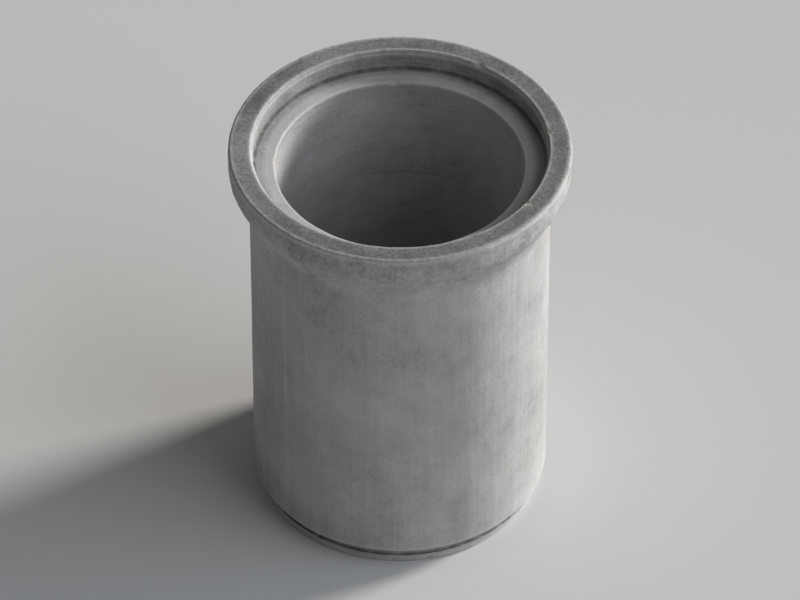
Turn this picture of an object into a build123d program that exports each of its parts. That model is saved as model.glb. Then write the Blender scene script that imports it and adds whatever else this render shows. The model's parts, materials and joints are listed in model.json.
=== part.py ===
from build123d import *

import math
import os

# A concrete culvert pipe, cast in one piece: a plain barrel with a flared bell at one end and a
# stepped spigot with a ring groove at the other. The spigot of one pipe goes into the bell of the
# next, with a rubber ring between them. Millimetres. The pipe stands on its spigot end, bell up.
# The origin is on the floor, on the pipe's axis, and +Z is up along the axis.

# Barrel
bore_diameter = 1200
wall = 125
laying_length = 2000  # what one pipe adds to a line: from the spigot's shoulder to the bell's face

# Socket inside the bell
socket_depth = 110
lead_in_length = 20  # the tapered mouth that guides the next pipe's ring
lead_in_depth = 12

# Bell outside: a flare up from the barrel, then a straight band
bell_wall = 118  # concrete around the socket
band_length = 95
flare_angle = 30  # slope of the flare between its two curves, in degrees from the axis
bell_round = 120
neck_round = 250

# Spigot
spigot_step = 31  # from the barrel's surface in to the spigot's
ring_gap = 13  # between spigot and socket all round, where the squeezed ring lies
joint_gap = 6  # left between the spigot's nose and the socket's ledge
nose_length = 14
nose_depth = 10
groove_width = 26
groove_depth = 10

# Rounded edges
rim_round = 14  # outer edge of the bell's face
shoulder_round = 8  # outer edge of the spigot's shoulder
arris_round = 6
root_round = 5  # inner corners

# Radii
bore_radius = bore_diameter / 2
barrel_radius = bore_radius + wall
spigot_radius = barrel_radius - spigot_step
groove_radius = spigot_radius - groove_depth
socket_radius = spigot_radius + ring_gap
bell_radius = socket_radius + bell_wall

# Heights above the spigot's nose
shoulder = socket_depth - joint_gap
groove_middle = (nose_length + shoulder) / 2
groove_low = groove_middle - groove_width / 2
groove_high = groove_middle + groove_width / 2
bell_face = shoulder + laying_length
ledge = bell_face - socket_depth
band_low = bell_face - band_length

# The two curves of the flare keep to their radii unless the bell stands out too little for both.
slope = math.radians(flare_angle)
flare_out = bell_radius - barrel_radius
fit_of_curves = min(1, 0.95 * flare_out / ((bell_round + neck_round) * (1 - math.cos(slope))))
bell_curve = bell_round * fit_of_curves
neck_curve = neck_round * fit_of_curves
band_corner = band_low - bell_curve * math.tan(slope / 2)
neck_corner = band_corner - flare_out / math.tan(slope)


def half_section():
    """Return the wall's section on one side of the axis, radius against height."""
    corners = [
        # radius, height, rounding
        (bore_radius, 0, arris_round),
        (spigot_radius - nose_depth, 0, root_round),
        (spigot_radius, nose_length, 0),
        (spigot_radius, groove_low, 0),
        (groove_radius, groove_low, 0),
        (groove_radius, groove_high, 0),
        (spigot_radius, groove_high, 0),
        (spigot_radius, shoulder, root_round),
        (barrel_radius, shoulder, shoulder_round),
        (barrel_radius, neck_corner, neck_curve),
        (bell_radius, band_corner, bell_curve),
        (bell_radius, bell_face, rim_round),
        (socket_radius + lead_in_depth, bell_face, arris_round),
        (socket_radius, bell_face - lead_in_length, 0),
        (socket_radius, ledge, root_round),
        (bore_radius, ledge, arris_round),
    ]
    points = [(radius, height) for radius, height, _ in corners]
    rounds = [rounding for _, _, rounding in corners]
    with BuildSketch(Plane.XZ) as section:
        with BuildLine():
            FilletPolyline(*points, radius=rounds, close=True)
        make_face()
    return section.sketch


culvert_pipe = revolve(half_section(), axis=Axis.Z)
culvert_pipe.label = "culvert_pipe"

os.makedirs("parts", exist_ok=True)
export_step(culvert_pipe, "parts/culvert_pipe.step")

print(f"height {bell_face:.0f}, bell {2 * bell_radius:.0f}, barrel {2 * barrel_radius:.0f}")
print(f"socket radius {socket_radius:.1f}, from {ledge + root_round:.1f} to {bell_face - lead_in_length:.1f}")
print(f"spigot radius {spigot_radius:.1f}, from {nose_length:.1f} to {shoulder - root_round:.1f}")
print(f"waterway radius {bore_radius:.1f}, from {arris_round:.1f} to {ledge - arris_round:.1f}")
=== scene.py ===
"""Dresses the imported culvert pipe: its cast concrete, the pale floor, the light and the camera.

The pipe is one turned mesh, built row by row round its half section. The unevenness of the casting, the
form seams, the chipped edges and the larger blowholes are in the mesh. Sand, drag marks and pinholes are
bump. Lengths are in metres, angles in radians unless a name says degrees, and colours are linear.
"""

import json
import logging
import math
from collections.abc import Iterable
from dataclasses import dataclass, field
from enum import Enum, StrEnum, auto
from typing import Any

import bpy
import numpy as np
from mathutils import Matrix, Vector, noise

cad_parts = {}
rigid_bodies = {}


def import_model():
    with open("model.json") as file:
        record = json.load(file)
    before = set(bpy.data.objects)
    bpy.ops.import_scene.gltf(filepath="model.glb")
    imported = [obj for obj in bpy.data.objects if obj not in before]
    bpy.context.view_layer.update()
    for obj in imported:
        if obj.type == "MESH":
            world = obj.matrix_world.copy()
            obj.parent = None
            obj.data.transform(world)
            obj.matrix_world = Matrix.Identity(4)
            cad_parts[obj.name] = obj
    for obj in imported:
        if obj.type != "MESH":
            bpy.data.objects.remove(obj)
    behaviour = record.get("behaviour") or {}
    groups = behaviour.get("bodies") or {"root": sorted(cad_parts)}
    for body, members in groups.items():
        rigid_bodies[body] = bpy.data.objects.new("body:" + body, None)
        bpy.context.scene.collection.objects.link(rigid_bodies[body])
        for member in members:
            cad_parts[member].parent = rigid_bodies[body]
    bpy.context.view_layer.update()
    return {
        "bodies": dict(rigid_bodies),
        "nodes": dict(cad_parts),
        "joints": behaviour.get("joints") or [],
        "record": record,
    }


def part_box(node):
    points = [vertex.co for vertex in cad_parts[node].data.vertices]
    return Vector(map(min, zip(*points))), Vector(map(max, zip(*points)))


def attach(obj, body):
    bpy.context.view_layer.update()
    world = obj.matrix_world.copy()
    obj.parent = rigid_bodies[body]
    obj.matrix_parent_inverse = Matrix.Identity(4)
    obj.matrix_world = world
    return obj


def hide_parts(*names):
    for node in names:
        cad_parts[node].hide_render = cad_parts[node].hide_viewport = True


NODE = "culvert_pipe"
BODY = "root"
WHOLE_TURN = 2 * math.pi

Colour = tuple[float, float, float]
Triple = tuple[float, float, float]

log = logging.getLogger("culvert_pipe")


class Surface(Enum):
    """The surfaces of the pipe, in order round its half section."""

    NOSE_FACE = auto()
    NOSE_TAPER = auto()
    SPIGOT = auto()
    GROOVE = auto()
    SHOULDER = auto()
    BARREL = auto()
    FLARE = auto()
    BAND = auto()
    BELL_FACE = auto()
    LEAD_IN = auto()
    SOCKET = auto()
    LEDGE = auto()
    BORE = auto()


OUTSIDE = (Surface.BARREL, Surface.FLARE, Surface.BAND)
BELL = (Surface.FLARE, Surface.BAND, Surface.BELL_FACE)


class Edge(Enum):
    """The edges that chip, each at one corner of the half section."""

    NOSE_INNER = auto()
    NOSE_OUTER = auto()
    SHOULDER = auto()
    RIM = auto()
    MOUTH = auto()
    LEDGE = auto()


class Mask(StrEnum):
    """The masks painted on the mesh, each stored under its own name."""

    OUTSIDE = auto()
    INSIDE = auto()
    BORE = auto()
    BELL = auto()
    FACE = auto()
    LEDGE = auto()
    # RING, EDGE, ROOT and PIT carry painted light and shade: the lit ring on the ledge, the highlight and
    # wear on the edges, and the shade in the roots and the blowholes.
    RING = auto()
    EDGE = auto()
    ROOT = auto()
    PIT = auto()
    SEAM = auto()
    CHIP = auto()


@dataclass(frozen=True)
class Corner:
    """A corner of the half section, and the straight run that leaves it."""

    radius: float
    height: float
    rounding: float
    surface: Surface
    rows_apart: float
    edge: Edge | None = None


@dataclass(frozen=True)
class PipeSizes:
    """The pipe's real sizes. The frame gives the first five, and the rest are driving sizes."""

    bore_radius: float
    spigot_radius: float
    socket_radius: float
    bell_radius: float
    length: float
    wall: float = 0.125
    socket_depth: float = 0.110
    joint_gap: float = 0.006
    lead_in_length: float = 0.020
    lead_in_depth: float = 0.012
    band_length: float = 0.095
    flare_degrees: float = 30.0
    bell_round: float = 0.120
    neck_round: float = 0.250
    nose_length: float = 0.014
    nose_depth: float = 0.010
    groove_width: float = 0.026
    groove_depth: float = 0.010
    rim_round: float = 0.014
    shoulder_round: float = 0.008
    arris_round: float = 0.006
    root_round: float = 0.005
    eased_edge: float = 0.002

    @classmethod
    def from_frame(cls, frame: dict[str, Any]) -> "PipeSizes":
        """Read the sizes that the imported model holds.


        Returns:
            The pipe's sizes.
        """
        radii = {
            mount["name"]: mount["dims"]["r_mm"] / 1000
            for mount in frame["record"]["mounts"]
            if "r_mm" in mount["dims"]
        }
        _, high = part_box(NODE)
        return cls(
            bore_radius=radii["waterway"],
            spigot_radius=radii["spigot"],
            socket_radius=radii["socket"],
            bell_radius=high.x,
            length=high.z,
        )

    @property
    def barrel_radius(self) -> float:
        """Outer radius of the barrel."""
        return self.bore_radius + self.wall

    @property
    def shoulder(self) -> float:
        """Height of the spigot's shoulder."""
        return self.socket_depth - self.joint_gap

    @property
    def ledge(self) -> float:
        """Height of the ledge at the bottom of the socket."""
        return self.length - self.socket_depth

    @property
    def flare_corners(self) -> tuple[float, float]:
        """Heights of the flare's lower and upper corners, before they are rounded."""
        slope = math.radians(self.flare_degrees)
        upper = self.length - self.band_length - self.bell_round * math.tan(slope / 2)
        return upper - (self.bell_radius - self.barrel_radius) / math.tan(slope), upper

    def corners(self) -> list[Corner]:
        """Lay out the half section.

        Returns:
            Its corners, from the bore at the floor and round the outside.
        """
        groove_middle = (self.nose_length + self.shoulder) / 2
        groove_low = groove_middle - self.groove_width / 2
        groove_high = groove_middle + self.groove_width / 2
        groove = self.spigot_radius - self.groove_depth
        neck, crown = self.flare_corners
        mouth = self.socket_radius + self.lead_in_depth
        ease = self.eased_edge
        barrel = self.barrel_radius
        return [
            Corner(self.bore_radius, 0, self.arris_round, Surface.NOSE_FACE, 0.024, Edge.NOSE_INNER),
            Corner(self.spigot_radius - self.nose_depth, 0, self.root_round, Surface.NOSE_TAPER, 0.012),
            Corner(self.spigot_radius, self.nose_length, ease, Surface.SPIGOT, 0.016, Edge.NOSE_OUTER),
            Corner(self.spigot_radius, groove_low, ease, Surface.GROOVE, 0.012),
            Corner(groove, groove_low, ease, Surface.GROOVE, 0.010),
            Corner(groove, groove_high, ease, Surface.GROOVE, 0.012),
            Corner(self.spigot_radius, groove_high, ease, Surface.SPIGOT, 0.016),
            Corner(self.spigot_radius, self.shoulder, self.root_round, Surface.SHOULDER, 0.012),
            Corner(barrel, self.shoulder, self.shoulder_round, Surface.BARREL, 0.040, Edge.SHOULDER),
            Corner(barrel, neck, self.neck_round, Surface.FLARE, 0.018),
            Corner(self.bell_radius, crown, self.bell_round, Surface.BAND, 0.015),
            Corner(self.bell_radius, self.length, self.rim_round, Surface.BELL_FACE, 0.013, Edge.RIM),
            Corner(mouth, self.length, self.arris_round, Surface.LEAD_IN, 0.012, Edge.MOUTH),
            Corner(self.socket_radius, self.length - self.lead_in_length, ease, Surface.SOCKET, 0.016),
            Corner(self.socket_radius, self.ledge, self.root_round, Surface.LEDGE, 0.014),
            Corner(self.bore_radius, self.ledge, self.arris_round, Surface.BORE, 0.078, Edge.LEDGE),
        ]


def graded(length: float, closest: float, widest: float, growth: float = 1.6) -> list[float]:
    """Share out a run so that its rows are close at both ends and wider apart between.

    Args:
        length: Length of the run.
        closest: Distance between the first two rows.
        widest: Largest distance between two rows.
        growth: How fast the distance grows.

    Returns:
        Places from 0 to length.
    """
    steps, step = [], min(closest, widest)
    while sum(steps) < length / 2:
        steps.append(step)
        step = min(step * growth, widest)
    places = np.concatenate([[0], np.cumsum(steps)]) * (length / 2) / sum(steps)
    return [*places, *(length - places[-2::-1])]


def smooth(value: np.ndarray) -> np.ndarray:
    """Ease a value from 0 to 1, held at both ends."""
    held = np.clip(value, 0, 1)
    return held * held * (3 - 2 * held)


def rotated(way: np.ndarray, angle: float) -> np.ndarray:
    """Turn a direction in the half section to the left by an angle."""
    cosine, sine = math.cos(angle), math.sin(angle)
    return np.array([way[0] * cosine - way[1] * sine, way[0] * sine + way[1] * cosine])


def drawn_size(draw: np.random.Generator, sizes: tuple[float, float], rarity: float) -> float:
    """Draw a size between the least and the most, and a large one more rarely the higher the rarity."""
    least, most = sizes
    return least + draw.uniform(0, 1) ** rarity * (most - least)


def arc_from(turns: np.ndarray, turn: float, radius: float) -> np.ndarray:
    """Return the distance round a circle from one turn to each of the others, the shorter way."""
    return ((turns - turn + math.pi) % WHOLE_TURN - math.pi) * radius


def clouds(points: np.ndarray, scales: Triple, octaves: int, seed: int) -> np.ndarray:
    """Work out fractal noise.

    Args:
        points: Points as rows of three numbers.
        scales: How many swells there are in a metre along each axis.
        octaves: How many finer layers are added.
        seed: Number of the pattern.

    Returns:
        A value of about -1 to 1 for each point.
    """
    between_patterns = np.array([17.31, 5.17, 9.73])
    moved = points * np.array(scales) + between_patterns * seed
    return np.array([noise.fractal(Vector(p), 1.0, 2.0, octaves) for p in moved.tolist()])


def linked(name: str, data: bpy.types.ID) -> bpy.types.Object:
    """Make an object of a mesh, a lamp or a camera, and link it to the scene."""
    made = bpy.data.objects.new(name, data)
    bpy.context.scene.collection.objects.link(made)
    return made


class SectionLine:
    """The half section as rows of points, close together where it turns."""

    closest = 0.0065
    arc_apart = 0.019
    arc_degrees = 22.5
    least_steps = 2
    # A rounding up to the first of these is only eased, and one under the second is an edge or a root.
    largest_ease = 0.003
    largest_arris = 0.05

    def __init__(self, corners: list[Corner]) -> None:
        """Round the corners and lay out the rows.

        Args:
            corners: The corners in order. The last run leads back to the first corner.
        """
        self.corners = corners
        self.points: list[np.ndarray] = []
        self.surfaces: list[Surface] = []
        self.rounded: list[float] = []
        trims = [self._trim(n) for n in range(len(corners))]
        for n, corner in enumerate(corners):
            self._add_arc(n, trims[n])
            after = (n + 1) % len(corners)
            start = self._at(n) + self._way(n) * trims[n]
            length = float(np.linalg.norm(self._at(after) - self._at(n))) - trims[n] - trims[after]
            for place in graded(length, self.closest, corner.rows_apart)[1:-1]:
                self._add(start + self._way(n) * place, corner.surface, 0.0)
        line = np.array(self.points)
        self.radius, self.height = line.T
        before, beyond = np.roll(line, 1, 0), np.roll(line, -1, 0)
        run = (beyond - before) / np.linalg.norm(beyond - before, axis=1)[:, None]
        self.normal = np.stack([run[:, 1], -run[:, 0]], 1)
        steps = np.linalg.norm(line - before, axis=1)
        self.along = np.cumsum(steps) - steps[0]
        self.total = float(steps.sum())

    def _at(self, n: int) -> np.ndarray:
        """Return where corner n stands, as radius and height."""
        return np.array([self.corners[n].radius, self.corners[n].height])

    def _way(self, n: int) -> np.ndarray:
        """Return the direction of the run that leaves corner n."""
        run = self._at((n + 1) % len(self.corners)) - self._at(n)
        return run / np.linalg.norm(run)

    def _turn(self, n: int) -> float:
        """Return how far the line turns at corner n, to the left if it is over 0."""
        came, goes = self._way(n - 1), self._way(n)
        return math.atan2(came[0] * goes[1] - came[1] * goes[0], float(came @ goes))

    def _trim(self, n: int) -> float:
        """Return what rounding corner n takes off the runs beside it."""
        return self.corners[n].rounding * math.tan(abs(self._turn(n)) / 2)

    def _add(self, point: np.ndarray, surface: Surface, rounded: float) -> None:
        """Add one row."""
        self.points.append(point)
        self.surfaces.append(surface)
        self.rounded.append(rounded)

    def _add_arc(self, n: int, trim: float) -> None:
        """Add the rows of a rounded corner.

        Args:
            n: Number of the corner.
            trim: What the rounding takes off each run.
        """
        corner, came, turn = self.corners[n], self._way(n - 1), self._turn(n)
        side = math.copysign(1, turn)
        start = self._at(n) - came * trim
        centre = start + side * corner.rounding * np.array([-came[1], came[0]])
        steps = max(self.least_steps, math.ceil(corner.rounding * abs(turn) / self.arc_apart))
        if corner.rounding > self.largest_ease:
            steps = max(steps, math.ceil(math.degrees(abs(turn)) / self.arc_degrees))
        rounded = side if corner.rounding < self.largest_arris else 0.0
        for step in range(steps + 1):
            surface = self.corners[n - 1].surface if 2 * step < steps else corner.surface
            self._add(centre + rotated(start - centre, turn * step / steps), surface, rounded)

    def _apart(self) -> np.ndarray:
        """Return how far each row is from each other one along the line, the shorter way round."""
        apart = np.abs(self.along[:, None] - self.along[None, :])
        return np.minimum(apart, self.total - apart)

    def weight(self, surfaces: Iterable[Surface], blend: float) -> np.ndarray:
        """Tell how far each row belongs to some surfaces.

        Args:
            surfaces: The surfaces wanted.
            blend: Length over which one surface fades into the next.

        Returns:
            For each row, 1 well inside the surfaces and 0 well outside them.
        """
        wanted = set(surfaces)
        member = np.array([surface in wanted for surface in self.surfaces])
        to_member = np.where(member[None, :], self._apart(), np.inf).min(1)
        to_other = np.where(member[None, :], np.inf, self._apart()).min(1)
        return smooth(((to_other - to_member) / blend + 1) / 2)

    def nearness(self, side: float, reach: float) -> np.ndarray:
        """Tell how near each row is to a rounded edge or root.

        Args:
            side: 1 for the edges that stand out, and -1 for the roots between two surfaces.
            reach: Distance at which the nearness has all but gone.

        Returns:
            For each row, 1 on such a corner and 0 far from it.
        """
        on_corner = np.array(self.rounded) == side
        nearest = np.where(on_corner[None, :], self._apart(), np.inf).min(1)
        return np.exp(-((nearest / reach * 2) ** 2))

    def edge(self, edge: Edge) -> tuple[np.ndarray, np.ndarray, float]:
        """Find an edge of the section.

        Args:
            edge: The edge wanted.

        Returns:
            The sharp corner as radius and height, the way out of the concrete there, and how far
            inside the sharp corner the rounded edge lies.
        """
        n = next(i for i, corner in enumerate(self.corners) if corner.edge is edge)
        came, goes = self._way(n - 1), self._way(n)
        out = np.array([came[1] + goes[1], -came[0] - goes[0]])
        half = abs(self._turn(n)) / 2
        inset = self.corners[n].rounding * (1 / math.cos(half) - 1)
        return self._at(n), out / np.linalg.norm(out), inset


@dataclass(frozen=True)
class FormSeam:
    """The line left by the joint of two halves of the form: a low fin and a slight step."""

    turn: float
    fin_height: float = 0.0022
    fin_width: float = 0.0045
    least_fin: float = 0.05
    usual_fin: float = 0.55
    fin_change: float = 1.1
    step_height: float = 0.0009
    step_fade: float = 0.060
    stain_width: float = 0.020
    waver_scales: Triple = (9, 9, 9)
    columns_at: tuple[float, ...] = (-0.022, -0.009, -0.0035, 0, 0.0035, 0.009, 0.022)

    def columns(self, radius: float) -> list[float]:
        """Return the turns that need a column of points, for a barrel of this radius."""
        return [self.turn + place / radius for place in self.columns_at]

    def lift(self, off: np.ndarray, waver: np.ndarray) -> np.ndarray:
        """Work out how far the seam lifts the wall.

        Args:
            off: Distance from the seam round the barrel.
            waver: Noise that makes the fin uneven.

        Returns:
            Height over the plain wall.
        """
        share = np.clip(self.usual_fin + self.fin_change * waver, self.least_fin, 1)
        fin = self.fin_height * share * np.exp(-((off / self.fin_width) ** 2))
        return fin - self.step_height * np.where(off > 0, np.exp(-off / self.step_fade), 0)


@dataclass(frozen=True)
class Chip:
    """A flake knocked off an edge."""

    edge: Edge
    turn: float
    half_width: float
    depth: float
    tilt: float

    def columns(self, radius: float) -> list[float]:
        """Return the turns that need a column of points, for an edge of this radius."""
        shares = (-1.0, -0.7, -0.3, 0.15, 0.6, 0.95)
        return [self.turn + share * self.half_width / radius for share in shares]


@dataclass(frozen=True)
class EdgeWear:
    """How many flakes each edge has lost, and how large they are."""

    seed: int = 11
    counts: dict[Edge, int] = field(
        default_factory=lambda: {
            Edge.RIM: 11,
            Edge.MOUTH: 7,
            Edge.LEDGE: 3,
            Edge.NOSE_OUTER: 5,
            Edge.NOSE_INNER: 3,
            Edge.SHOULDER: 4,
        }
    )
    half_widths: tuple[float, float] = (0.007, 0.032)
    rarity_of_large: float = 1.8
    slenderness: float = 0.32
    depth_shares: tuple[float, float] = (0.7, 1.25)
    most_tilt: float = 0.35
    reach_in_half_widths: float = 3.0
    flatness: float = 0.6
    roughness: float = 0.12
    rough_scales: Triple = (55, 55, 1)
    full_stain_depth: float = 0.0015

    def chips(self) -> list[Chip]:
        """Draw the flakes.

        Returns:
            The flakes, the same ones each time.
        """
        draw = np.random.default_rng(self.seed)
        made = []
        for edge, count in self.counts.items():
            for _ in range(count):
                turn = draw.uniform(0, WHOLE_TURN)
                half_width = drawn_size(draw, self.half_widths, self.rarity_of_large)
                depth = half_width * self.slenderness * draw.uniform(*self.depth_shares)
                tilt = draw.uniform(-self.most_tilt, self.most_tilt)
                made.append(Chip(edge, turn, half_width, depth, tilt))
        return made


@dataclass(frozen=True)
class Relief:
    """The unevenness that the casting leaves, as heights over the plain section."""

    swell: float = 0.0012
    lumps: float = 0.0009
    bell_lumps: float = 0.0013
    drag: float = 0.0005
    rings: float = 0.0005
    swell_scales: Triple = (2.1, 2.1, 1.4)
    lump_scales: Triple = (15, 15, 15)
    drag_scales: Triple = (34, 34, 1.3)
    ring_scales: Triple = (1.3, 1.3, 38)
    flat_share: float = 0.35
    box_margin: float = 0.0016

    def heights(self, line: SectionLine, points: np.ndarray) -> np.ndarray:
        """Work out the relief.

        Args:
            line: The section, whose rows the points follow.
            points: Points by row, column and axis.

        Returns:
            A height for each row and column.
        """
        rows, columns, _ = points.shape
        flat = points.reshape(-1, 3)
        turned = flat.copy()
        turned[:, 2] = np.repeat(line.along, columns)

        def field_of(places: np.ndarray, scales: Triple, octaves: int, seed: int) -> np.ndarray:
            """Return one field of noise by row and column."""
            return clouds(places, scales, octaves, seed).reshape(rows, columns)

        outside = line.weight(OUTSIDE, 0.02)[:, None]
        bell = line.weight(BELL, 0.12)[:, None]
        inside = line.weight([Surface.SOCKET, Surface.LEDGE, Surface.BORE, Surface.BELL_FACE], 0.02)[:, None]
        flats = [Surface.NOSE_FACE, Surface.NOSE_TAPER, Surface.SPIGOT, Surface.GROOVE, Surface.SHOULDER]
        flats += [Surface.BELL_FACE, Surface.LEAD_IN, Surface.SOCKET, Surface.LEDGE]
        trued = 1 - (1 - self.flat_share) * line.weight(flats, 0.01)[:, None]
        at_box = line.weight([Surface.BAND, Surface.BELL_FACE, Surface.NOSE_FACE], 0.03)[:, None]

        relief = self.swell * field_of(flat, self.swell_scales, octaves=2, seed=1)
        lumps = self.lumps + self.bell_lumps * bell
        relief += lumps * field_of(flat, self.lump_scales, octaves=3, seed=2)
        relief += self.drag * outside * field_of(flat, self.drag_scales, octaves=2, seed=3)
        relief += self.rings * inside * field_of(turned, self.ring_scales, octaves=2, seed=4)
        relief *= trued
        return relief - at_box * trued * self.box_margin


@dataclass(frozen=True)
class Blowholes:
    """The larger air holes in the cast faces, which are modelled. The small ones are bump."""

    seed: int = 5
    counts: dict[Surface, int] = field(
        default_factory=lambda: {
            Surface.BARREL: 70,
            Surface.FLARE: 16,
            Surface.BAND: 9,
            Surface.BELL_FACE: 7,
            Surface.SOCKET: 6,
            Surface.LEDGE: 4,
            Surface.BORE: 34,
            Surface.SPIGOT: 4,
        }
    )
    radii: tuple[float, float] = (0.0018, 0.0046)
    rarity_of_large: float = 2.0
    tries_for_each: int = 12
    sides: int = 9
    unevenness: tuple[float, float] = (0.85, 1.15)
    collar: float = 1.45
    most_of_face: float = 0.92
    steepness: float = 0.85
    # Each ring of a hole has its share of the radius, its share of the depth, and how dark its painted shade
    # is.
    rings: tuple[tuple[float, float, float], ...] = ((1.0, 0.0, 0.35), (0.84, 0.6, 1.0), (0.45, 1.0, 1.0))
    bottom: float = 1.1


class CastMesh:
    """The points, faces and painted masks of the pipe, gathered before Blender's mesh is made."""

    def __init__(
        self, grid: np.ndarray, turns: np.ndarray, line: SectionLine, masks: dict[Mask, np.ndarray]
    ) -> None:
        """Turn a grid of points into faces.

        Args:
            grid: Points by row, column and axis.
            turns: Share of a whole turn of each column.
            line: The section that the rows follow.
            masks: For each mask, a value by row and column.
        """
        rows, columns, _ = grid.shape
        self.shape = (rows, columns)
        self.points = grid.reshape(-1, 3).tolist()
        self.turns = np.tile(turns, rows).tolist()
        self.along = np.repeat(line.along / line.total, columns).tolist()
        self.masks = {mask: values.reshape(-1).tolist() for mask, values in masks.items()}
        index = np.arange(rows * columns).reshape(rows, columns)
        right, up = np.roll(index, -1, 1), np.roll(index, -1, 0)
        self.quads = np.stack([index, right, np.roll(up, -1, 1), up], -1).reshape(-1, 4)
        self.extra: list[tuple[int, ...]] = []
        self.gone: set[int] = set()

    def sink(self, row: int, column: int, radius: float, holes: Blowholes, draw: np.random.Generator) -> bool:
        """Put a round hole in one face.

        Args:
            row: Row at which the face starts.
            column: Column at which it starts.
            radius: Radius of the hole.
            holes: What the holes are like.
            draw: Source of the hole's uneven outline.

        Returns:
            Whether the face had room for it.
        """
        number = row * self.shape[1] + column
        around = [int(i) for i in self.quads[number]]
        corners = np.array([self.points[i] for i in around])
        middle = corners.mean(0)
        across = corners[1] + corners[2] - corners[0] - corners[3]
        upward = corners[2] + corners[3] - corners[0] - corners[1]
        room = min(np.linalg.norm(across), np.linalg.norm(upward)) / 4
        too_large = radius * holes.collar > holes.most_of_face * room
        if number in self.gone or too_large or column == self.shape[1] - 1:
            return False
        normal = np.cross(across, upward)
        normal /= np.linalg.norm(normal)
        across = across / np.linalg.norm(across)
        upward = np.cross(normal, across)
        self.gone.add(number)
        collar = []
        for side, rise in ((-1, -1), (1, -1), (1, 1), (-1, 1)):
            spoke = (across * side + upward * rise) * radius * holes.collar
            collar.append(self._add_point(middle + spoke, around, 0.0))
        self._join_loops(around, collar)
        angles = (np.arange(holes.sides) + draw.uniform(0, 1)) * WHOLE_TURN / holes.sides
        wobble = radius * draw.uniform(*holes.unevenness, holes.sides)
        rings = []
        for share, depth, hole_shade in holes.rings:
            ring = []
            for angle, reach in zip(angles, wobble, strict=True):
                spoke = (across * math.cos(angle) + upward * math.sin(angle)) * reach * share
                sunk = normal * radius * holes.steepness * depth
                ring.append(self._add_point(middle + spoke - sunk, around, hole_shade))
            rings.append(ring)
        bottom = self._add_point(middle - normal * radius * holes.steepness * holes.bottom, around, 1.0)
        for outer, inner in zip(rings, rings[1:], strict=False):
            self._join_loops(outer, inner)
        for i in range(holes.sides):
            self.extra.append((rings[-1][i], rings[-1][(i + 1) % holes.sides], bottom))
        self._fill_collar(collar, rings[0], angles)
        return True

    def _add_point(self, point: np.ndarray, around: list[int], pit: float) -> int:
        """Add a point of a hole.

        Args:
            point: Where it stands.
            around: The points of the face that it lies in.
            pit: How dark its painted shade is, from 0 to 1.

        Returns:
            The point's number.
        """
        self.points.append(point.tolist())
        corners = np.array([self.points[i] for i in around])
        near = 1 / (np.linalg.norm(corners - point, axis=1) + 1e-9)
        near /= near.sum()
        for values in (self.turns, self.along, *self.masks.values()):
            values.append(float(near @ [values[i] for i in around]))
        self.masks[Mask.PIT][-1] = pit
        return len(self.points) - 1

    def _join_loops(self, outer: list[int], inner: list[int]) -> None:
        """Add a band of faces between two loops.

        Args:
            outer: The points of the one loop.
            inner: The points of the other, as many and in step.
        """
        for i in range(len(outer)):
            j = (i + 1) % len(outer)
            self.extra.append((outer[i], outer[j], inner[j], inner[i]))

    def _fill_collar(self, collar: list[int], ring: list[int], angles: np.ndarray) -> None:
        """Fill between the square collar and the hole in it with triangles.

        Args:
            collar: The collar's four points, from the lower left one.
            ring: The points round the hole.
            angles: The angle of each point of the ring.
        """
        marks = [(math.radians(degrees), 0, i) for i, degrees in enumerate((225, 315, 45, 135))]
        marks += [(angle % WHOLE_TURN, 1, i) for i, angle in enumerate(angles)]
        marks.sort()
        last_corner = max(mark for mark in marks if mark[1] == 0)[2]
        last_ring = max(mark for mark in marks if mark[1] == 1)[2]
        for _, kind, i in marks:
            if kind == 0:
                self.extra.append((collar[last_corner], collar[i], ring[last_ring]))
                last_corner = i
            else:
                self.extra.append((collar[last_corner], ring[i], ring[last_ring]))
                last_ring = i

    def build(self, name: str) -> bpy.types.Object:
        """Make Blender's mesh, with its masks, its map and the place along the section.

        Args:
            name: Name of the piece.

        Returns:
            The new object, linked to the scene.
        """
        kept = [tuple(face) for i, face in enumerate(self.quads.tolist()) if i not in self.gone]
        mesh = bpy.data.meshes.new(name)
        mesh.from_pydata(self.points, [], kept + self.extra)
        mesh.polygons.foreach_set("use_smooth", np.ones(len(mesh.polygons), bool))
        for mask, values in self.masks.items():
            layer = mesh.attributes.new(mask.value, "FLOAT", "POINT")
            layer.data.foreach_set("value", np.array(values, np.float32))
        corners = np.empty(len(mesh.loops), np.int32)
        mesh.loops.foreach_get("vertex_index", corners)
        starts = np.empty(len(mesh.polygons), np.int32)
        mesh.polygons.foreach_get("loop_start", starts)
        turn = self._unwrapped(np.array(self.turns)[corners], starts)
        along = self._unwrapped(np.array(self.along)[corners], starts)
        layer = mesh.attributes.new("along", "FLOAT", "CORNER")
        layer.data.foreach_set("value", along.astype(np.float32))
        flat_map = mesh.uv_layers.new(name="OFBake")
        flat_map.uv.foreach_set("vector", np.stack([turn, along], 1).astype(np.float32).ravel())
        mesh.validate()
        mesh.update()
        return linked(name, mesh)

    @staticmethod
    def _unwrapped(values: np.ndarray, starts: np.ndarray) -> np.ndarray:
        """Lift a face's low values by 1 where the face crosses the end of the scale.

        Args:
            values: A value from 0 to 1 for each corner of each face.
            starts: The first corner of each face.

        Returns:
            The values, with no face that runs back over the whole scale.
        """
        counts = np.diff([*starts, len(values)])
        high = np.repeat(np.maximum.reduceat(values, starts), counts)
        low = np.repeat(np.minimum.reduceat(values, starts), counts)
        return np.where((high - low > 0.5) & (values < 0.5), values + 1, values)


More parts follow.
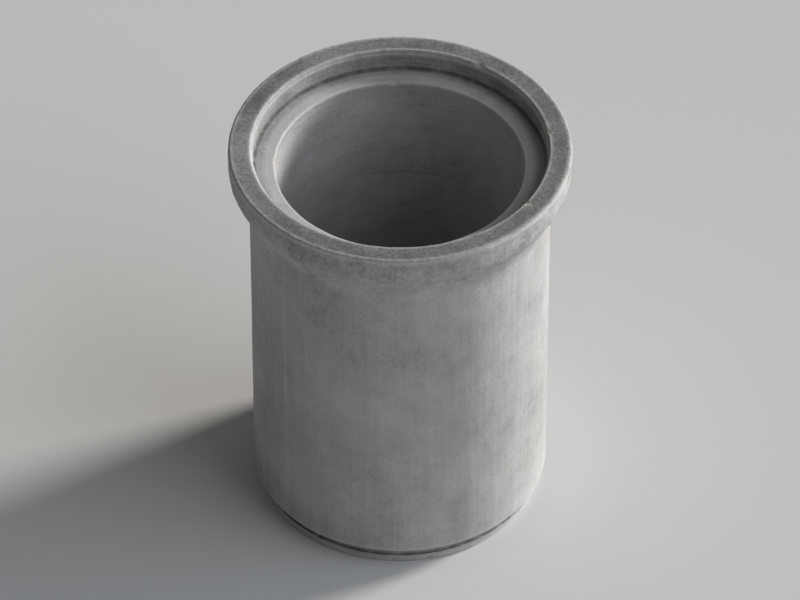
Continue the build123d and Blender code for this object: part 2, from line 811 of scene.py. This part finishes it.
class Wire:
    """A value in a node tree. Arithmetic on it adds Math nodes."""

    def __init__(self, bench: "Bench", socket: bpy.types.NodeSocket) -> None:
        """Hold an output socket of the bench's tree."""
        self.bench = bench
        self.socket = socket

    def __add__(self, other: "Wire | float") -> "Wire":
        """Return the sum."""
        return self.bench.math("ADD", self, other)

    def __radd__(self, other: float) -> "Wire":
        """Return the sum, from a number on the left."""
        return self.bench.math("ADD", other, self)

    def __sub__(self, other: "Wire | float") -> "Wire":
        """Return the difference."""
        return self.bench.math("SUBTRACT", self, other)

    def __rsub__(self, other: float) -> "Wire":
        """Return the difference, from a number on the left."""
        return self.bench.math("SUBTRACT", other, self)

    def __mul__(self, other: "Wire | float") -> "Wire":
        """Return the product."""
        return self.bench.math("MULTIPLY", self, other)

    def __rmul__(self, other: float) -> "Wire":
        """Return the product, from a number on the left."""
        return self.bench.math("MULTIPLY", other, self)


class Bench:
    """Adds nodes to one material's tree."""

    def __init__(self, material: bpy.types.Material) -> None:
        """Clear the material's tree and hold it."""
        material.use_nodes = True
        self.tree = material.node_tree
        self.tree.nodes.clear()

    def node(
        self, kind: str, settings: dict[str, Any] | None = None, sockets: dict[Any, Any] | None = None
    ) -> bpy.types.Node:
        """Add one node.

        Args:
            kind: The node's type.
            settings: Its settings, which are set first. The stops of a ramp are under "stops".
            sockets: For each input, by name or number, a value or a Wire to link.

        Returns:
            The new node.
        """
        made = self.tree.nodes.new(kind)
        for name, value in (settings or {}).items():
            if name == "stops":
                self._set_stops(made.color_ramp, value)
            else:
                setattr(made, name, value)
        for name, value in (sockets or {}).items():
            if isinstance(value, Wire):
                self.tree.links.new(value.socket, made.inputs[name])
            else:
                made.inputs[name].default_value = value
        return made

    @staticmethod
    def _set_stops(ramp: bpy.types.ColorRamp, stops: list[tuple[float, Colour]]) -> None:
        """Give a ramp its stops.

        Args:
            ramp: The ramp.
            stops: A place and a colour for each stop.
        """
        while len(ramp.elements) < len(stops):
            ramp.elements.new(0.5)
        for element, (place, colour) in zip(ramp.elements, stops, strict=True):
            element.position = place
            element.color = (*colour, 1)

    def shade(self, sockets: dict[str, Any]) -> None:
        """Add the shader with these sockets, and lead it to the material's surface."""
        shader = self.node("ShaderNodeBsdfPrincipled", {}, sockets)
        self.node("ShaderNodeOutputMaterial", {}, {"Surface": self.wire(shader)})

    def wire(self, made: bpy.types.Node, output: str | int = 0) -> Wire:
        """Return one output of a node."""
        return Wire(self, made.outputs[output])

    def math(self, operation: str, first: Wire | float, second: Wire | float) -> Wire:
        """Add a Math node and return its result."""
        return self.wire(self.node("ShaderNodeMath", {"operation": operation}, {0: first, 1: second}))

    def attribute(self, name: str) -> Wire:
        """Return a value stored on the mesh."""
        return self.wire(self.node("ShaderNodeAttribute", {"attribute_name": name}), "Fac")

    def scaled(self, place: Wire, by: Triple) -> Wire:
        """Return a vector with each axis multiplied."""
        return self.wire(self.node("ShaderNodeVectorMath", {"operation": "MULTIPLY"}, {0: place, 1: by}))

    def moved(self, place: Wire, by: Triple) -> Wire:
        """Return a vector moved by a fixed amount, so that a pattern doesn't repeat another."""
        return self.wire(self.node("ShaderNodeVectorMath", {"operation": "ADD"}, {0: place, 1: by}))

    def noise(self, place: Wire, scale: float, detail: float, roughness: float) -> Wire:
        """Return cloudy noise from 0 to 1."""
        sockets = {"Vector": place, "Scale": scale, "Detail": detail, "Roughness": roughness}
        return self.wire(self.node("ShaderNodeTexNoise", {}, sockets))

    def patches(self, place: Wire, scale: float, low: float, high: float) -> Wire:
        """Return ragged patches: 1 where noise is over high, and 0 where it is under low."""
        return self.between(self.noise(place, scale, detail=4.0, roughness=0.6), low, high)

    def cells(self, place: Wire, scale: float) -> tuple[Wire, Wire]:
        """Return how far the middle of the nearest cell is, and a random number that each cell has."""
        made = self.node("ShaderNodeTexVoronoi", {}, {"Vector": place, "Scale": scale})
        parts = self.node("ShaderNodeSeparateColor", {}, {0: self.wire(made, 1)})
        return self.wire(made, 0), self.wire(parts, 0)

    def between(self, value: Wire, low: float, high: float) -> Wire:
        """Return 0 under low, 1 over high, and a smooth rise between them."""
        sockets = {"Value": value, "From Min": low, "From Max": high}
        return self.wire(self.node("ShaderNodeMapRange", {"interpolation_type": "SMOOTHSTEP"}, sockets))

    def blend(self, share: Wire, first: Wire | Colour, second: Wire | Colour) -> Wire:
        """Mix two colours.

        Args:
            share: How much of the second shows.
            first: The colour below.
            second: The colour on top.

        Returns:
            The mixed colour.
        """
        below = first if isinstance(first, Wire) else (*first, 1)
        above = second if isinstance(second, Wire) else (*second, 1)
        sockets = {0: share, 6: below, 7: above}
        return self.wire(self.node("ShaderNodeMix", {"data_type": "RGBA"}, sockets), 2)


@dataclass(frozen=True)
class Pinholes:
    """Small air holes of one size, strewn over the cells of a pattern."""

    cells_to_metre: float
    radius_in_cells: float
    bare_share: float
    shift: float
    flat_share: float = 0.55
    cut: float = 0.01

    def dots(self, bench: Bench, place: Wire) -> Wire:
        """Return 1 in each hole and 0 between them."""
        near, draw = bench.cells(bench.moved(place, (self.shift, 0, 0)), self.cells_to_metre)
        there = bench.between(draw, self.bare_share, self.bare_share + self.cut)
        return there * (1 - bench.between(near, self.radius_in_cells * self.flat_share, self.radius_in_cells))


@dataclass(frozen=True)
class Contrast:
    """How strongly each pattern lightens and darkens the concrete, whose tones run from 0 to 1."""

    middle: float = 0.56
    clouds: float = 0.55
    patches: float = 0.45
    mottle: float = 0.38
    bell_mottle: float = 0.70
    face_mottle: float = -0.45
    speckle: float = 0.42
    bell_speckle: float = 0.40
    drag: float = 0.28
    rings: float = 0.46
    sand: float = 0.40
    shifts: dict[Mask, float] = field(
        default_factory=lambda: {
            Mask.BELL: -0.05,
            # Painted shade: the lead-in, socket, ledge and bore are darker; the bore's own shift takes nearly
            # all of it back off the bore.
            Mask.INSIDE: -0.22,
            Mask.BORE: 0.20,
            # Painted shade: the bell face is made much darker than the barrel.
            Mask.FACE: -0.42,
            # Painted light: the ledge is lighter, and lighter still in a ring at the bore edge, so that it
            # darkens towards the socket's root.
            Mask.LEDGE: 0.10,
            Mask.RING: 0.36,
            Mask.SEAM: 0.05,
        }
    )


@dataclass(frozen=True)
class FineRelief:
    """The heights of the finest relief, which is bump."""

    sand: float = 0.00035
    grain: float = 0.0013
    bell_grain: float = 0.0007
    broken_grain: float = 0.0030
    mottle: float = 0.0010
    drag: float = 0.0006
    rings: float = 0.0007
    pinholes: float = 0.0016


@dataclass(frozen=True)
class ConcreteFinish:
    """Cast concrete that has stood in the open: pale paste, sand, stains, pinholes, and paler edges (painted
    highlight and wear), with painted shade in its hollows, mouth and bell face.
    """

    name: str = "weathered_cast_concrete"
    shadow: Colour = (0.135, 0.132, 0.128)
    paste: Colour = (0.384, 0.376, 0.366)
    pale: Colour = (0.560, 0.552, 0.540)
    warm: Colour = (0.330, 0.285, 0.230)
    cool: Colour = (0.275, 0.290, 0.302)
    broken: Colour = (0.470, 0.450, 0.405)
    stone: Colour = (0.215, 0.195, 0.165)
    # Colour of the painted shade in the roots, the pinholes and the blowholes.
    hollow_shade: Colour = (0.070, 0.064, 0.055)
    smoothest: float = 0.78
    roughest: float = 0.97
    specular: float = 0.35
    contrast: Contrast = Contrast()
    relief: FineRelief = FineRelief()
    pinholes: tuple[Pinholes, ...] = (
        Pinholes(cells_to_metre=34.0, radius_in_cells=0.085, bare_share=0.80, shift=3.1),
        Pinholes(cells_to_metre=82.0, radius_in_cells=0.13, bare_share=0.78, shift=7.7),
    )

    def build(self) -> bpy.types.Material:
        """Make the material.

        Returns:
            The finished material.
        """
        material = bpy.data.materials.new(self.name)
        bench = Bench(material)
        concrete = ConcreteNodes(bench, self)
        tone = concrete.tone()
        bump = {"Strength": 1.0, "Distance": 1.0, "Height": concrete.height()}
        bench.shade(
            {
                "Base Color": concrete.colour(tone),
                "Roughness": bench.between(tone, 0.2, 0.9) * (self.smoothest - self.roughest) + self.roughest,
                "Normal": bench.wire(bench.node("ShaderNodeBump", {}, bump)),
                "Specular IOR Level": self.specular,
            }
        )
        return material


class ConcreteNodes:
    """The nodes of the concrete: its masks and patterns, and the tone, colour and relief made of them.

    The drag marks run lengthwise and the rings run round the pipe, both left by the form. The
    mottle is patches of a few centimetres.
    """

    def __init__(self, bench: Bench, finish: ConcreteFinish) -> None:
        """Add the masks, and the patterns that more than one method reads.

        Args:
            bench: The bench of the material.
            finish: What the concrete looks like.
        """
        self.bench = bench
        self.finish = finish
        self.place = bench.wire(bench.node("ShaderNodeTexCoord"), "Object")
        self.masks = {mask: bench.attribute(mask.value) for mask in Mask}
        self.drag = bench.noise(bench.scaled(self.place, (46, 46, 1.6)), scale=1.0, detail=4.0, roughness=0.6)
        self.rings = bench.noise(self._round_the_pipe(), scale=1.0, detail=4.0, roughness=0.62)
        self.mottle = bench.noise(self.place, scale=13.0, detail=6.0, roughness=0.66)
        self.sand = bench.noise(self.place, scale=240.0, detail=3.0, roughness=0.7)
        dots = sum(size.dots(bench, self.place) for size in finish.pinholes)
        self.pinholes = dots * (1 - self.masks[Mask.CHIP])

    def _round_the_pipe(self) -> Wire:
        """Work out where the rings are looked up.

        Returns:
            A place that changes fast across the section and slowly round the axis.
        """
        parts = self.bench.node("ShaderNodeSeparateXYZ", {}, {0: self.place})
        x, y = (self.bench.wire(parts, axis) * 1.1 for axis in (0, 1))
        sockets = {0: x, 1: y, 2: self.bench.attribute("along") * 330.0}
        return self.bench.wire(self.bench.node("ShaderNodeCombineXYZ", {}, sockets))

    def tone(self) -> Wire:
        """Work out how light the concrete is.

        Returns:
            A value of about 0, dark, to 1, pale.
        """
        by, bench, masks, place = self.finish.contrast, self.bench, self.masks, self.place
        patches = bench.moved(place, (5.2, 1.3, 8.1))
        speckle = bench.moved(place, (3.3, 7.1, 0.4))
        swings = (
            (bench.noise(place, scale=1.9, detail=3.0, roughness=0.5), by.clouds),
            (bench.noise(patches, scale=5.0, detail=5.0, roughness=0.6), by.patches),
            (self.mottle, by.mottle + by.bell_mottle * masks[Mask.BELL] + by.face_mottle * masks[Mask.FACE]),
            (
                bench.noise(speckle, scale=62.0, detail=3.0, roughness=0.7),
                by.speckle + by.bell_speckle * masks[Mask.BELL],
            ),
            (self.drag, by.drag * masks[Mask.OUTSIDE]),
            (self.rings, by.rings * masks[Mask.INSIDE]),
            (self.sand, by.sand),
        )
        tone = sum(((pattern - 0.5) * strength for pattern, strength in swings), by.middle)
        # The shifts paint shade into the mouth and onto the bell face, and light onto the ledge.
        return sum((masks[mask] * shift for mask, shift in by.shifts.items()), tone)

    def colour(self, tone: Wire) -> Wire:
        """Work out the colour.

        Args:
            tone: How light the concrete is.

        Returns:
            The base colour.
        """
        look, bench, masks, place = self.finish, self.bench, self.masks, self.place
        stops = [(0.0, look.shadow), (0.5, look.paste), (1.0, look.pale)]
        colour = bench.wire(bench.node("ShaderNodeValToRGB", {"stops": stops}, {0: tone}))
        warm = bench.patches(bench.moved(place, (9.4, 2.2, 4.4)), scale=3.1, low=0.50, high=0.74)
        cool = bench.patches(bench.moved(place, (1.7, 6.3, 2.9)), scale=2.3, low=0.52, high=0.76)
        sheen_and_wear = bench.patches(place, scale=42.0, low=0.30, high=0.62)
        root_shade_patches = bench.patches(place, scale=18.0, low=0.22, high=0.60)
        near, draw = bench.cells(place, 80.0)
        stones = (1 - bench.between(near, 0.26, 0.42)) * bench.between(draw, 0.25, 0.35)
        flesh = bench.blend(stones * 0.65, look.broken, look.stone)
        layers = (
            (warm * (0.22 + 0.25 * masks[Mask.BORE]), look.warm),
            (cool * 0.24, look.cool),
            # Paler rounded edges: painted highlight and wear, broken up in patches.
            (masks[Mask.EDGE] * (0.28 + 0.34 * sheen_and_wear), look.pale),
            # Painted shade in the roots between surfaces, broken up in patches.
            (masks[Mask.ROOT] * (0.25 + 0.55 * root_shade_patches), look.hollow_shade),
            (masks[Mask.CHIP] * 0.85, flesh),
            # Painted shade in the pinholes.
            (self.pinholes * 0.78, look.hollow_shade),
            # Painted shade in the blowholes, darkest at the bottom.
            (masks[Mask.PIT] * 0.62, look.hollow_shade),
        )
        for share, layer in layers:
            colour = bench.blend(share, colour, layer)
        return colour

    def height(self) -> Wire:
        """Work out the fine relief.

        Returns:
            The height in metres.
        """
        high, masks = self.finish.relief, self.masks
        grain = self.bench.noise(self.place, scale=70.0, detail=4.0, roughness=0.65)
        depth = high.grain + high.bell_grain * masks[Mask.BELL] + high.broken_grain * masks[Mask.CHIP]
        drag = self.drag * masks[Mask.OUTSIDE] * high.drag
        rings = self.rings * masks[Mask.INSIDE] * high.rings
        height = self.sand * high.sand + grain * depth + self.mottle * high.mottle + drag + rings
        return height - self.pinholes * high.pinholes


@dataclass
class CastPipe:
    """The whole pipe, one cast piece."""

    sizes: PipeSizes
    columns: int = 378
    # Columns keep the least gap, and the even ones stay this many such gaps clear of the others.
    least_gap: float = 0.0022
    even_gaps: float = 1.5
    chips_with_columns: int = 16
    # The painted light ring on the ledge: its width from the bore edge, and how soft its edge is.
    light_ring: float = 0.072
    ring_fade: float = 0.026
    relief: Relief = Relief()
    wear: EdgeWear = EdgeWear()
    holes: Blowholes = Blowholes()
    finish: ConcreteFinish = ConcreteFinish()
    seams: tuple[FormSeam, ...] = (FormSeam(math.radians(40)), FormSeam(math.radians(220)))

    def build(self) -> bpy.types.Object:
        """Make the pipe's mesh.

        Returns:
            The piece, with no material yet.
        """
        line = SectionLine(self.sizes.corners())
        chips = self.wear.chips()
        turns = self._turns(chips)
        spoke = np.stack([np.cos(turns), np.sin(turns)], 1)
        radius = np.repeat(line.radius[:, None], len(turns), 1)
        height = np.repeat(line.height[:, None], len(turns), 1)
        lift = self.relief.heights(line, self._points(radius, height, spoke))
        masks = self._masks(line, len(turns))
        masks[Mask.SEAM] = self._add_seams(line, turns, lift)
        radius = radius + lift * line.normal[:, :1]
        height = height + lift * line.normal[:, 1:]
        masks[Mask.CHIP] = self._knock_off(line, chips, turns, radius, height)
        np.clip(height, 0, self.sizes.length, out=height)
        np.clip(radius, 0, self.sizes.bell_radius, out=radius)
        cast = CastMesh(self._points(radius, height, spoke), turns / WHOLE_TURN, line, masks)
        sunk = self._sink_holes(cast, line)
        piece = cast.build("cast_concrete_pipe")
        piece.data.calc_loop_triangles()
        triangles = len(piece.data.loop_triangles)
        log.info("%s: %d flakes, %d blowholes, %d triangles", piece.name, len(chips), sunk, triangles)
        return piece

    def dress(self, piece: bpy.types.Object) -> None:
        """Give the pipe its concrete, attach it to the body that it rides on, and hide the imported part that
        it replaces.

        Args:
            piece: The mesh that build() made.
        """
        piece.data.materials.append(self.finish.build())
        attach(piece, BODY)
        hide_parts(NODE)

    @staticmethod
    def _points(radius: np.ndarray, height: np.ndarray, spoke: np.ndarray) -> np.ndarray:
        """Return points by row, column and axis, from radius and height by row and column."""
        return np.stack([radius * spoke[:, 0], radius * spoke[:, 1], height], -1)

    def _turns(self, chips: list[Chip]) -> np.ndarray:
        """Place the columns: even ones, and closer ones at the seams and the larger chips.

        Args:
            chips: The flakes.

        Returns:
            The turn of each column, in order.
        """
        wanted: list[float] = []
        for seam in self.seams:
            wanted += seam.columns(self.sizes.barrel_radius)
        for chip in sorted(chips, key=lambda c: -c.half_width)[: self.chips_with_columns]:
            wanted += chip.columns(self.sizes.bell_radius)
        held = [turn % WHOLE_TURN for turn in wanted]
        least = self.least_gap / self.sizes.bell_radius
        for turn in np.arange(self.columns) * WHOLE_TURN / self.columns:
            if np.abs(arc_from(np.array(held), float(turn), 1)).min() > self.even_gaps * least:
                held.append(float(turn))
        held.sort()
        kept = [held[0]]
        for turn in held[1:]:
            if turn - kept[-1] > least:
                kept.append(turn)
        return np.array(kept)

    def _add_seams(self, line: SectionLine, turns: np.ndarray, lift: np.ndarray) -> np.ndarray:
        """Raise the form seams on the outside of the pipe.

        Args:
            line: The section.
            turns: The turn of each column.
            lift: The relief by row and column, which gains the seams.

        Returns:
            The mask of the seams by row and column.
        """
        fade = line.weight([Surface.BARREL, Surface.FLARE], 0.05)[:, None]
        mask = np.zeros_like(lift)
        for number, seam in enumerate(self.seams):
            off = arc_from(turns, seam.turn, self.sizes.barrel_radius)[None, :]
            spots = np.stack([np.full(len(line.height), float(number)), line.height, line.along], 1)
            waver = clouds(spots, seam.waver_scales, octaves=3, seed=8 + number)[:, None]
            lift += fade * seam.lift(off, waver)
            mask = np.maximum(mask, fade * np.exp(-((off / seam.stain_width) ** 2)))
        return mask

    def _knock_off(
        self, line: SectionLine, chips: list[Chip], turns: np.ndarray, radius: np.ndarray, height: np.ndarray
    ) -> np.ndarray:
        """Cut the flakes off the edges.

        Args:
            line: The section.
            chips: The flakes.
            turns: The turn of each column.
            radius: Radii by row and column, which change.
            height: Heights by row and column, which change.

        Returns:
            The mask of the broken faces by row and column.
        """
        wear = self.wear
        mask = np.zeros_like(radius)
        for number, chip in enumerate(chips):
            corner, out, inset = line.edge(chip.edge)
            out = rotated(out, chip.tilt)
            off = arc_from(turns, chip.turn, corner[0])
            reach = np.clip(1 - (off / chip.half_width) ** 2, 0, 1)
            columns = np.flatnonzero(reach > 0)
            if len(columns) == 0:
                continue
            far = wear.reach_in_half_widths * chip.half_width
            rows = np.flatnonzero(np.hypot(line.radius - corner[0], line.height - corner[1]) < far)
            block = np.ix_(rows, columns)
            places = np.meshgrid(line.along[rows], off[columns], [float(number)], indexing="ij")
            spots = np.stack([place.ravel() for place in places], 1)
            rough = clouds(spots, wear.rough_scales, octaves=3, seed=20)
            rough = rough.reshape(len(rows), len(columns))
            depth = (inset + chip.depth) * reach[columns] ** wear.flatness
            depth = depth + wear.roughness * chip.depth * rough
            stands = (radius[block] - corner[0]) * out[0] + (height[block] - corner[1]) * out[1]
            over = np.clip(stands + depth, 0, None)
            radius[block] -= over * out[0]
            height[block] -= over * out[1]
            mask[block] = np.maximum(mask[block], np.clip(over / wear.full_stain_depth, 0, 1))
        return mask

    def _masks(self, line: SectionLine, columns: int) -> dict[Mask, np.ndarray]:
        """Return the masks that follow the section, by row and column.

        Args:
            line: The section.
            columns: How many columns there are.

        Returns:
            Each mask by row and column. Those of the pits, the seams and the chips are still 0.
        """
        inside = [Surface.LEAD_IN, Surface.SOCKET, Surface.LEDGE, Surface.BORE]
        ledge = line.weight([Surface.LEDGE], 0.008)
        # The painted light ring runs along the ledge from the bore edge.
        ring = smooth((self.sizes.bore_radius + self.light_ring - line.radius) / self.ring_fade)
        by_row = dict.fromkeys(Mask, np.zeros(len(line.along))) | {
            Mask.OUTSIDE: line.weight(OUTSIDE, 0.012),
            Mask.INSIDE: line.weight(inside, 0.008),
            Mask.BORE: line.weight([Surface.BORE], 0.010),
            Mask.BELL: line.weight(BELL, 0.30),
            Mask.FACE: line.weight([Surface.BELL_FACE], 0.010),
            Mask.LEDGE: ledge,
            Mask.RING: ring * ledge,
            # EDGE lightens the rounded edges, a painted highlight that also stands for wear; ROOT darkens the
            # roots, which is painted shade.
            Mask.EDGE: line.nearness(1.0, 0.016),
            Mask.ROOT: line.nearness(-1.0, 0.022),
        }
        return {mask: np.repeat(values[:, None], columns, 1) for mask, values in by_row.items()}

    def _sink_holes(self, cast: CastMesh, line: SectionLine) -> int:
        """Scatter the blowholes over the surfaces that have them.

        Args:
            cast: The mesh that gets the holes.
            line: The section.

        Returns:
            How many there are.
        """
        holes = self.holes
        draw = np.random.default_rng(holes.seed)
        made = 0
        for surface, count in holes.counts.items():
            rows = [row for row, there in enumerate(line.surfaces) if there is surface]
            lengths = np.array([line.along[(row + 1) % len(line.along)] - line.along[row] for row in rows])
            chances = np.clip(lengths, 0, None) / np.clip(lengths, 0, None).sum()
            tries = 0
            sunk = 0
            while sunk < count and tries < holes.tries_for_each * count:
                tries += 1
                row = int(draw.choice(rows, p=chances))
                column = int(draw.integers(0, cast.shape[1]))
                radius = drawn_size(draw, holes.radii, holes.rarity_of_large)
                sunk += cast.sink(row, column, radius, holes, draw)
            made += sunk
        return made


@dataclass(frozen=True)
class SoftLamp:
    """A wide, far-off studio lamp, placed by its direction from the pipe."""

    name: str
    azimuth_degrees: float
    elevation_degrees: float
    width_degrees: float
    strength: float
    colour: Colour
    distance: float = 10.0

    def build(self) -> None:
        """Make the lamp."""
        azimuth, elevation = math.radians(self.azimuth_degrees), math.radians(self.elevation_degrees)
        level = math.cos(elevation)
        out = Vector((math.sin(azimuth) * level, -math.cos(azimuth) * level, math.sin(elevation)))
        data = bpy.data.lights.new(self.name, "SUN")
        data.angle = math.radians(self.width_degrees)
        data.energy = self.strength
        data.color = self.colour
        lamp = linked(self.name, data)
        lamp.location = out * self.distance
        lamp.rotation_euler = out.to_track_quat("Z", "Y").to_euler()


@dataclass(frozen=True)
class Studio:
    """The pale floor, the soft light and the camera."""

    sizes: PipeSizes
    lamps: tuple[SoftLamp, ...] = (
        SoftLamp("key_lamp", 116, 17, 14, 4.6, (1.0, 0.975, 0.94)),
        SoftLamp("fill_lamp", 66, 34, 60, 1.25, (0.80, 0.90, 1.0)),
    )
    floor_half_side: float = 90.0
    floor_colour: Colour = (0.66, 0.655, 0.64)
    floor_roughness: float = 0.9
    sky_colour: Colour = (1.0, 0.965, 0.93)
    sky_strength: float = 0.13
    view_degrees: float = 42.4
    distance: float = 32.0
    sensor: float = 36.0
    fill_of_frame: float = 0.88
    frame: tuple[int, int] = (800, 600)
    farthest_seen: float = 500.0

    def build(self) -> None:
        """Make the floor, the lamps, the world and the camera."""
        self._floor()
        self._world()
        for lamp in self.lamps:
            lamp.build()
        self._camera()
        bpy.context.scene.view_settings.view_transform = "Standard"

    def _floor(self) -> None:
        """Lay the plain pale floor."""
        half = self.floor_half_side
        mesh = bpy.data.meshes.new("studio_floor")
        corners = [(-half, -half, 0), (half, -half, 0), (half, half, 0), (-half, half, 0)]
        mesh.from_pydata(corners, [], [(0, 1, 2, 3)])
        material = bpy.data.materials.new("pale_floor")
        Bench(material).shade({"Base Color": (*self.floor_colour, 1), "Roughness": self.floor_roughness})
        mesh.materials.append(material)
        linked("studio_floor", mesh)

    def _world(self) -> None:
        """Give the world an even soft light."""
        world = bpy.data.worlds.new("studio_world")
        world.use_nodes = True
        background = world.node_tree.nodes["Background"]
        background.inputs["Color"].default_value = (*self.sky_colour, 1)
        background.inputs["Strength"].default_value = self.sky_strength
        bpy.context.scene.world = world

    def _camera(self) -> None:
        """Place the camera at the photograph's angle to the pipe's axis, far off, with a long lens."""
        tilt = math.radians(self.view_degrees)
        top = self.sizes.length * math.cos(tilt) + self.sizes.bell_radius * math.sin(tilt)
        foot = -self.sizes.spigot_radius * math.sin(tilt)
        target = Vector((0, 0, (top + foot) / 2 / math.cos(tilt)))
        back = Vector((0, -math.cos(tilt), math.sin(tilt)))
        width = (top - foot) / self.fill_of_frame * self.frame[0] / self.frame[1]
        data = bpy.data.cameras.new("camera")
        data.sensor_width = self.sensor
        data.lens = self.sensor * self.distance / width
        data.clip_end = self.farthest_seen
        camera = linked("camera", data)
        camera.location = target + back * self.distance
        camera.rotation_euler = back.to_track_quat("Z", "Y").to_euler()
        bpy.context.scene.camera = camera


def main() -> None:
    logging.basicConfig(level=logging.INFO, format="%(name)s: %(message)s", force=True)
    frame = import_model()
    sizes = PipeSizes.from_frame(frame)
    pipe = CastPipe(sizes)
    piece = pipe.build()
    pipe.dress(piece)
    log.info("%s: dressed", piece.name)
    Studio(sizes).build()


if __name__ == "__main__":
    main()
